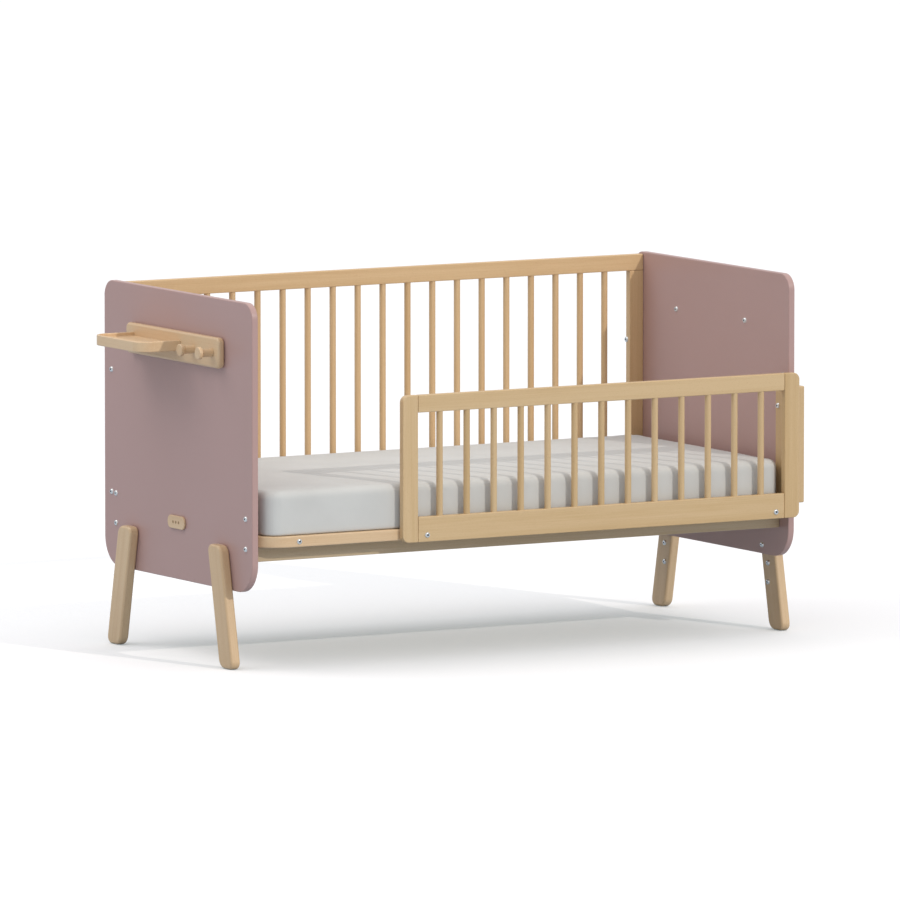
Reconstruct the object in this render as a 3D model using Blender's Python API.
"""Toddler bed: painted end panels on splayed legs, a spindled rear side, a guard rail, a shelf with pegs."""

import math

import bmesh
import bpy
from mathutils import Matrix, Vector

# Driving dimensions, in millimetres. Before the last shift x = 0 is the left panel's outer face,
# y = 0 is the front edge of the end panels and z = 0 is the floor.
GAP = 0.3
INNER_LENGTH = 1400.0
PANEL_T = 16.0
PANEL_W = 700.0
PANEL_H = 659.0
PANEL_Z = 176.0
PANEL_R_TOP = 37.0
PANEL_R_BOTTOM = 68.0

LEG_W = 61.0
LEG_T = 24.0
LEG_SPLAY = 11.6
LEG_FOOT_Y = 79.0
LEG_TOP_Z = PANEL_Z + 102.0

REAR_FACE_Y = PANEL_W - 44.0
REAR_T = 18.0
REAR_TOP = PANEL_H - 5.0
REAR_RAIL_H = 38.0
REAR_STILE_W = 37.0
REAR_LOW = (133.0, 191.0)
REAR_SPINDLES = 19
REAR_SPINDLE_D = 15.0
REAR_END = 64.2

GUARD_X = (372.0, 1425.0)
GUARD_FACE_Y = -34.0
GUARD_T = 16.5
GUARD_Z = (99.0, 435.0)
GUARD_STILE_W = 40.0
GUARD_LOW_H = 58.0
GUARD_TOP_H = 40.0
GUARD_SPINDLES = 13
GUARD_SPINDLE_D = 15.0
GUARD_END = 60.0
CLAMP_T = (14.0, 16.0)
CLAMP_Y = (GUARD_FACE_Y + GUARD_T + GAP, 36.0)
CLAMP_Z = (130.6, 401.0)
CLAMP_BOLT_Y = 24.3
CLAMP_BOLT_Z = 354.0
BOLT_HEAD_D = 13.0
BOLT_HEAD_H = 3.3
BOLT_SHANK_D = 6.0
BOLT_HOLE_D = 6.6
SOCKET_R = 2.3

NOSE_Y = (GUARD_FACE_Y + GUARD_T + GAP, 24.7)
NOSE_Z = (104.0, 130.0)
NOSE_R = 75.0
RAIL_T = 16.0
RAIL_Z = (69.0, 119.4)
FRONT_RAIL_Y = 38.0
REAR_RAIL_Y = PANEL_W - 64.0
DECK_T = 10.0
CROSS_T = 30.0

MATTRESS_X = (PANEL_T + 14.0, PANEL_T + INNER_LENGTH - 18.0)
MATTRESS_Y = (-14.0, REAR_FACE_Y - 4.0)
MATTRESS_H = 103.5
MATTRESS_R = 40.0
MATTRESS_EDGE = 19.0
MATTRESS_FOOT_EDGE = 8.0

PLATE = (440.0, 70.0, 17.0)
PLATE_Y = 345.5
PLATE_Z = PANEL_H - 122.0
TRAY_Y = (303.0, 531.0)
TRAY_DEPTH = 108.0
TRAY_H = 24.0
TRAY_TOP = PLATE_Z + 15.5
TRAY_R = 35.0
TRAY_RIM = 7.0
TRAY_FLOOR = 15.0
PEG_Y = (157.0, 243.0)
PEG_LONG = 37.0
PEG_HEAD_D = 28.0
PEG_NECK_D = 19.0
PLAQUE = (79.0, 30.0, 5.0)
PLAQUE_Z = 131.0

X_LEFT = -(PLATE[2] + TRAY_DEPTH)
X_RIGHT = 2 * PANEL_T + INNER_LENGTH + GAP + LEG_T
ORIGIN = Vector(((X_LEFT + X_RIGHT) / 2, (GUARD_FACE_Y + PANEL_W) / 2, 0.0))
INNER = (PANEL_T, PANEL_T + INNER_LENGTH)

for old in list(bpy.data.objects):
    bpy.data.objects.remove(old, do_unlink=True)


def material(name, colour, rough, metallic):
    made = bpy.data.materials.new(name)
    made.use_nodes = True
    shader = made.node_tree.nodes["Principled BSDF"]
    shader.inputs["Base Color"].default_value = (*colour, 1.0)
    shader.inputs["Roughness"].default_value = rough
    shader.inputs["Metallic"].default_value = metallic
    return made


PAINT = (0.38, 0.24, 0.23)
BEECH = (0.62, 0.42, 0.23)
PLY = (0.60, 0.47, 0.30)
CLOTH = (0.72, 0.71, 0.68)
ZINC = (0.80, 0.80, 0.79)
frame_root = bpy.data.objects.new("bed_frame_root", None)
mattress_root = bpy.data.objects.new("mattress_root", None)
for root in (frame_root, mattress_root):
    bpy.context.scene.collection.objects.link(root)


def link(made, root):
    made.parent = root
    bpy.context.scene.collection.objects.link(made)
    return made


def finish(name, mesh, colour, rough=0.5, metallic=0.0, root=frame_root):
    """Makes an object from a mesh built in millimetres, with its own origin at the middle of its box."""
    bmesh.ops.recalc_face_normals(mesh, faces=mesh.faces)
    low = Vector(min(v.co[i] for v in mesh.verts) for i in range(3))
    high = Vector(max(v.co[i] for v in mesh.verts) for i in range(3))
    middle = (low + high) / 2
    mesh.transform(Matrix.Scale(0.001, 4) @ Matrix.Translation(-middle))
    data = bpy.data.meshes.new(name)
    mesh.to_mesh(data)
    mesh.free()
    data.materials.append(material(name + "_finish", colour, rough, metallic))
    data.shade_smooth()
    data.set_sharp_from_angle(angle=math.radians(30))
    made = bpy.data.objects.new(name, data)
    made.location = (middle - ORIGIN) / 1000
    return link(made, root)


def row_of(name, first, count, pitch):
    """Copies of the first object at an even pitch along X, sharing its mesh."""
    for i in range(1, count):
        made = bpy.data.objects.new(f"{name}_{i + 1:02d}", first.data)
        made.location = first.location + Vector((pitch * i / 1000, 0, 0))
        link(made, first.parent)


def drill(made, cutter):
    cutter.hide_render = True
    cutter.display_type = "WIRE"
    cut = made.modifiers.new("cut", "BOOLEAN")
    cut.operation = "DIFFERENCE"
    cut.solver = "EXACT"
    cut.object = cutter


def outline(u, v, radii, steps=6, inset=0.0):
    """Rounded rectangle, anticlockwise from its lower left corner; radii in the same order."""
    points = []
    corners = [(u[0], v[0], 1, 1), (u[1], v[0], -1, 1), (u[1], v[1], -1, -1), (u[0], v[1], 1, -1)]
    for turn, ((cu, cv, su, sv), r) in enumerate(zip(corners, radii)):
        if r <= inset:
            points.append((cu + su * inset, cv + sv * inset))
            continue
        start = math.pi + turn * math.pi / 2
        for i in range(steps + 1):
            angle = start + math.pi / 2 * i / steps
            across, along = (r - inset) * math.cos(angle), (r - inset) * math.sin(angle)
            points.append((cu + su * r + across, cv + sv * r + along))
    return points


def place(axis, depth, u, v):
    return {"x": (depth, u, v), "y": (u, depth, v), "z": (u, v, depth)}[axis]


def stack(axis, rings):
    """Closed body through rings of equally many points, each ring (depth, points)."""
    mesh = bmesh.new()
    rows = [[mesh.verts.new(place(axis, depth, u, v)) for u, v in points] for depth, points in rings]
    for low, high in zip(rows, rows[1:]):
        for i in range(len(low)):
            j = (i + 1) % len(low)
            mesh.faces.new((low[i], low[j], high[j], high[i]))
    mesh.faces.new(rows[0])
    mesh.faces.new(rows[-1])
    return mesh


def slab(axis, depth, u, v, radii, edge=2.0, steps=6, turns=2):
    """Rounded rectangle made thick along the axis, with rounded-over edges."""
    least = edge * 1.01
    radii = [max(r, least) for r in radii]
    rings = []
    for i in range(turns + 1):
        angle = math.pi / 2 * i / turns
        inset, rise = edge * (1 - math.sin(angle)), edge * (1 - math.cos(angle))
        rings.append((depth[0] + rise, outline(u, v, radii, steps, inset)))
    for i in range(turns, -1, -1):
        angle = math.pi / 2 * i / turns
        inset, rise = edge * (1 - math.sin(angle)), edge * (1 - math.cos(angle))
        rings.append((depth[1] - rise, outline(u, v, radii, steps, inset)))
    return stack(axis, rings)


def dowel(axis, depth, u, v, diameter, sides=16):
    """Round bar along the axis."""
    turns = [2 * math.pi * i / sides for i in range(sides)]
    ring = [(u + diameter / 2 * math.cos(a), v + diameter / 2 * math.sin(a)) for a in turns]
    return stack(axis, [(depth[0], ring), (depth[1], ring)])


def above(z):
    """Height over the floor of a height measured from the end panels' bottom edge."""
    return PANEL_Z + z


def span(low_high):
    return above(low_high[0]), above(low_high[1])


# End panels: painted board, larger corner radius below than above.
panels = {}
for side, x in (("left", 0.0), ("right", PANEL_T + INNER_LENGTH)):
    radii = [PANEL_R_BOTTOM, PANEL_R_BOTTOM, PANEL_R_TOP, PANEL_R_TOP]
    body = slab("x", (x, x + PANEL_T), (0.0, PANEL_W), span((0.0, PANEL_H)), radii, 2.5, 8)
    panels[side] = finish(side + "_end_panel", body, PAINT)

# Legs: flat bars on the panels' outer faces, splayed fore and aft, cut level with the floor.
run = LEG_TOP_Z * math.tan(math.radians(LEG_SPLAY))
wide = LEG_W / math.cos(math.radians(LEG_SPLAY))


def leg(x, foot, lean):
    """A bar of level rows: rounded foot corners, rounded top, rounded long edges."""
    corner, head, edge = 14.0, 16.0, 5.0
    turns = [math.pi / 2 * i / 4 for i in range(5)]
    rows = [(corner * (1 - math.cos(a)), corner * (1 - math.sin(a))) for a in turns]
    rows += [(LEG_TOP_Z - head * (1 - math.cos(a)), head * (1 - math.sin(a))) for a in reversed(turns)]
    rings = []
    for z, inset in rows:
        centre = foot + lean * run * z / LEG_TOP_Z
        half = wide / 2 - inset
        trim = min(max(edge * (1 - min(z, LEG_TOP_Z - z) / edge), 0.0), edge) * 0.6
        rings.append((z, outline((x[0] + trim, x[1] - trim), (centre - half, centre + half), [edge] * 4, 3)))
    return stack("z", rings)


for side, x in (("left", (-LEG_T - GAP, -GAP)), ("right", (X_RIGHT - LEG_T, X_RIGHT))):
    finish(side + "_front_leg", leg(x, LEG_FOOT_Y, 1), BEECH)
    finish(side + "_rear_leg", leg(x, PANEL_W - LEG_FOOT_Y, -1), BEECH)

# Rear side: full-length top rail over the stiles, low rail behind the mattress, round spindles between.
rear_y = (REAR_FACE_Y, REAR_FACE_Y + REAR_T)
rear_mid = REAR_FACE_Y + REAR_T / 2
rear_x = (INNER[0] + GAP, INNER[1] - GAP)
rail_under = REAR_TOP - REAR_RAIL_H
top_rail = slab("x", rear_x, rear_y, span((rail_under, REAR_TOP)), [4, 4, 6, 6], 0.6, 3, 1)
finish("rear_top_rail", top_rail, BEECH)
stile_in = (rear_x[0] + REAR_STILE_W, rear_x[1] - REAR_STILE_W)
low_x = (stile_in[0] + GAP, stile_in[1] - GAP)
finish("rear_bottom_rail", slab("x", low_x, rear_y, span(REAR_LOW), [3] * 4, 0.6, 2, 1), BEECH)
stile_z = span((REAR_LOW[0], rail_under - GAP))
for side, x in (("left", (rear_x[0], stile_in[0])), ("right", (stile_in[1], rear_x[1]))):
    finish("rear_" + side + "_stile", slab("z", stile_z, x, rear_y, [3] * 4, 0.6, 2, 1), BEECH)
pitch = (stile_in[1] - stile_in[0] - 2 * REAR_END) / (REAR_SPINDLES - 1)
rod_z = span((REAR_LOW[1] + GAP, rail_under - GAP))
rod = dowel("z", rod_z, stile_in[0] + REAR_END, rear_mid, REAR_SPINDLE_D)
row_of("rear_spindle", finish("rear_spindle_01", rod, BEECH), REAR_SPINDLES, pitch)

# Guard rail: stiles run full height with the rails between them.
guard_y = (GUARD_FACE_Y, GUARD_FACE_Y + GUARD_T)
guard_mid = GUARD_FACE_Y + GUARD_T / 2
stile_in = (GUARD_X[0] + GUARD_STILE_W, GUARD_X[1] - GUARD_STILE_W)
for side, x, radii in (
    ("left", (GUARD_X[0], stile_in[0]), [16, 2, 2, 16]),
    ("right", (stile_in[1], GUARD_X[1]), [2, 16, 16, 2]),
):
    finish("guard_" + side + "_stile", slab("y", guard_y, x, span(GUARD_Z), radii, 1.9), BEECH)
rail_x = (stile_in[0] + GAP, stile_in[1] - GAP)
low_z = (GUARD_Z[0], GUARD_Z[0] + GUARD_LOW_H)
top_z = (GUARD_Z[1] - GUARD_TOP_H, GUARD_Z[1])
finish("guard_bottom_rail", slab("x", rail_x, guard_y, span(low_z), [2] * 4, 0.5, 2, 1), BEECH)
finish("guard_top_rail", slab("x", rail_x, guard_y, span(top_z), [2] * 4, 0.5, 2, 1), BEECH)
pitch = (stile_in[1] - stile_in[0] - 2 * GUARD_END) / (GUARD_SPINDLES - 1)
rod_z = span((low_z[1] + GAP, top_z[0] - GAP))
rod = dowel("z", rod_z, stile_in[0] + GUARD_END, guard_mid, GUARD_SPINDLE_D)
row_of("guard_spindle", finish("guard_spindle_01", rod, BEECH), GUARD_SPINDLES, pitch)

# Two upright boards clamp the guard rail to the right end panel, on a bolt through all three.
clamp_x = (INNER[1] - GAP - CLAMP_T[0], INNER[1] + PANEL_T + GAP + CLAMP_T[1])
inner_board = slab("z", span(CLAMP_Z), (clamp_x[0], INNER[1] - GAP), CLAMP_Y, [2] * 4, 1.0, 2, 1)
outer_board = slab("z", span(CLAMP_Z), (INNER[1] + PANEL_T + GAP, clamp_x[1]), CLAMP_Y, [2] * 4, 1.0, 2, 1)
clamped = [finish("guard_clamp_inner", inner_board, BEECH), finish("guard_clamp_outer", outer_board, BEECH)]
bolt_at = (CLAMP_BOLT_Y, above(CLAMP_BOLT_Z))
hole = finish("clamp_bolt_hole", dowel("x", (clamp_x[0] - 5, clamp_x[1] + 5), *bolt_at, BOLT_HOLE_D), ZINC)
for made in (*clamped, panels["right"]):
    drill(made, hole)


def circle(r, flats=False):
    """Twelve points round the bolt's axis; with flats they lie on a hexagon."""
    points = []
    for i in range(12):
        reach = r * math.cos(math.pi / 6) if flats and i % 2 else r
        angle = math.pi * i / 6
        points.append((bolt_at[0] + reach * math.cos(angle), bolt_at[1] + reach * math.sin(angle)))
    return points


def clamp_bolt():
    """Button-headed bolt with a hexagon socket, and its sleeve nut's head at the far end."""
    head, shank = BOLT_HEAD_D / 2, BOLT_SHANK_D / 2
    seat, far = clamp_x[0] - GAP, clamp_x[1] + GAP
    tip = seat - BOLT_HEAD_H
    return stack("x", [
        (tip + 2.0, circle(SOCKET_R, True)),
        (tip, circle(SOCKET_R, True)),
        (tip, circle(head * 0.55)),
        (tip + 0.9, circle(head * 0.85)),
        (seat - 1.0, circle(head)),
        (seat, circle(head)),
        (seat, circle(shank)),
        (far, circle(shank)),
        (far, circle(head)),
        (far + 1.0, circle(head)),
        (far + 2.4, circle(head * 0.85)),
        (far + BOLT_HEAD_H, circle(head * 0.55)),
    ])


finish("guard_clamp_bolt", clamp_bolt(), ZINC, 0.3, 1.0)

# Mattress base: rounded nose, two support rails bolted between the panels, centre rail and slotted deck.
base_x = (INNER[0] + GAP, INNER[1] - GAP)


def nose_outline(inset):
    """Plan of the nose: straight back edge, big corner arcs to the front."""
    left, right, front = base_x[0] + inset, base_x[1] - inset, NOSE_Y[0] + inset
    r, back = NOSE_R - inset, NOSE_Y[1] - inset
    begin = math.asin((front + r - back) / r)
    arc = [begin + (math.pi / 2 - begin) * i / 7 for i in range(8)]
    points = [(left + r - r * math.cos(a), front + r - r * math.sin(a)) for a in arc]
    points += [(right - r + r * math.cos(a), front + r - r * math.sin(a)) for a in reversed(arc)]
    return points


rings = [(NOSE_Z[0] + rise, inset) for rise, inset in ((0.0, 3.0), (0.9, 0.9), (3.0, 0.0))]
rings += [(NOSE_Z[1] - rise, inset) for rise, inset in ((3.0, 0.0), (0.9, 0.9), (0.0, 3.0))]
finish("base_front_edge", stack("z", [(above(z), nose_outline(inset)) for z, inset in rings]), BEECH)
for name, y in (("base_front_rail", FRONT_RAIL_Y), ("base_rear_rail", REAR_RAIL_Y)):
    finish(name, slab("x", base_x, (y, y + RAIL_T), span(RAIL_Z), [2.5] * 4, 0.5, 2, 1), BEECH)
middle = (INNER[0] + INNER[1]) / 2
cross_y = (FRONT_RAIL_Y + RAIL_T + GAP, REAR_RAIL_Y - GAP)
cross_x = (middle - CROSS_T / 2, middle + CROSS_T / 2)
finish("base_cross_rail", slab("y", cross_y, cross_x, span(RAIL_Z), [2.5] * 4, 0.5, 2, 1), BEECH)

deck_y = (NOSE_Y[1] + GAP, REAR_FACE_Y - 2.0)
deck_z = span((NOSE_Z[1] - DECK_T, NOSE_Z[1]))
inner_x = (base_x[0] + 8.0, base_x[1] - 8.0)
deck = finish("mattress_deck", slab("z", deck_z, inner_x, deck_y, [20, 20, 4, 4], 1.0, 4, 1), PLY)
cutters = bmesh.new()
slots, slot_w, slot_long = 9, 28.0, 190.0
for row in (0.29, 0.71):
    for i in range(slots):
        if i == slots // 2:
            continue
        x = inner_x[0] + (inner_x[1] - inner_x[0]) * (i + 0.5) / slots
        y = deck_y[0] + (deck_y[1] - deck_y[0]) * row
        across, along = (x - slot_w / 2, x + slot_w / 2), (y - slot_long / 2, y + slot_long / 2)
        hole = slab("z", (deck_z[0] - 5, deck_z[1] + 5), across, along, [slot_w / 2 - 0.1] * 4, 0.1, 4, 1)
        data = bpy.data.meshes.new("slot")
        hole.to_mesh(data)
        hole.free()
        cutters.from_mesh(data)
drill(deck, finish("deck_slot_cutter", cutters, PLY))

# Mattress: loose, plain cover, pillowed edges.
base = above(NOSE_Z[1]) + GAP
rings = []
turns = 5
for i in range(turns + 1):
    angle = math.pi / 2 * i / turns
    rise, inset = MATTRESS_FOOT_EDGE * (1 - math.cos(angle)), MATTRESS_FOOT_EDGE * (1 - math.sin(angle))
    rings.append((base + rise, inset))
for i in range(turns, -1, -1):
    angle = math.pi / 2 * i / turns
    drop, inset = MATTRESS_EDGE * (1 - math.cos(angle)), MATTRESS_EDGE * (1 - math.sin(angle))
    rings.append((base + MATTRESS_H - drop, inset))
radii = [MATTRESS_R] * 4
rings = [(z, outline(MATTRESS_X, MATTRESS_Y, radii, 8, inset)) for z, inset in rings]
finish("mattress", stack("z", rings), CLOTH, 0.9, root=mattress_root)

# Shelf on the left panel's outer face: back plate, hollow tray and two pegs.
plate_x = (-GAP - PLATE[2], -GAP)
plate_y = (PLATE_Y - PLATE[0] / 2, PLATE_Y + PLATE[0] / 2)
plate_z = (PLATE_Z - PLATE[1] / 2, PLATE_Z + PLATE[1] / 2)
finish("shelf_back_plate", slab("x", plate_x, plate_y, span(plate_z), [10] * 4, 3.0, 5), BEECH)


def tray_blank(x, top):
    """The tray before its hollow is cut: a plank with two big corners."""
    corners = [TRAY_R, 1.5, 1.5, TRAY_R]
    return stack("z", [
        (top - TRAY_H, outline(x, TRAY_Y, corners, 8, 1.4)),
        (top - TRAY_H + 2, outline(x, TRAY_Y, corners, 8)),
        (top - 1.5, outline(x, TRAY_Y, corners, 8)),
        (top, outline(x, TRAY_Y, corners, 8, 1.4)),
    ])


def tray_hollow(x, top):
    """The routed hollow: a rim on three sides, and open at the back, where the plate closes it."""
    hollow_x, hollow_y = (x[0] + TRAY_RIM, x[1] + 5.0), (TRAY_Y[0] + TRAY_RIM, TRAY_Y[1] - TRAY_RIM)
    corners = [TRAY_R - TRAY_RIM, 1.5, 1.5, TRAY_R - TRAY_RIM]
    floor = top - TRAY_H + TRAY_FLOOR
    return stack("z", [
        (floor, outline(hollow_x, hollow_y, corners, 8, 1.4)),
        (floor + 2, outline(hollow_x, hollow_y, corners, 8)),
        (top + 5, outline(hollow_x, hollow_y, corners, 8)),
    ])


tray_back = plate_x[0] - GAP
tray_x, tray_top = (tray_back - TRAY_DEPTH + 2 * GAP, tray_back), above(TRAY_TOP)
tray = finish("shelf_tray", tray_blank(tray_x, tray_top), BEECH)
drill(tray, finish("tray_hollow_cutter", tray_hollow(tray_x, tray_top), BEECH))
for number, y in enumerate(PEG_Y, 1):
    front = plate_x[0] - GAP
    profile = [
        (front, PEG_NECK_D / 2),
        (front - PEG_LONG + 14, PEG_NECK_D / 2),
        (front - PEG_LONG + 9, PEG_HEAD_D / 2),
        (front - PEG_LONG + 2.5, PEG_HEAD_D / 2),
        (front - PEG_LONG, PEG_HEAD_D / 2 - 2.5),
    ]
    circle = [(math.cos(math.pi * i / 10), math.sin(math.pi * i / 10)) for i in range(20)]
    rings = [(x, [(y + r * c, above(PLATE_Z) + r * s) for c, s in circle]) for x, r in profile]
    finish(f"shelf_peg_{number}", stack("x", rings), BEECH)

# Small plain wooden plaque low on the left panel.
plaque_y = (PANEL_W / 2 - PLAQUE[0] / 2, PANEL_W / 2 + PLAQUE[0] / 2)
plaque_z = (PLAQUE_Z - PLAQUE[1] / 2, PLAQUE_Z + PLAQUE[1] / 2)
plaque = slab("x", (-GAP - PLAQUE[2], -GAP), plaque_y, span(plaque_z), [14.9] * 4, 1.5, 5)
finish("name_plaque", plaque, BEECH)
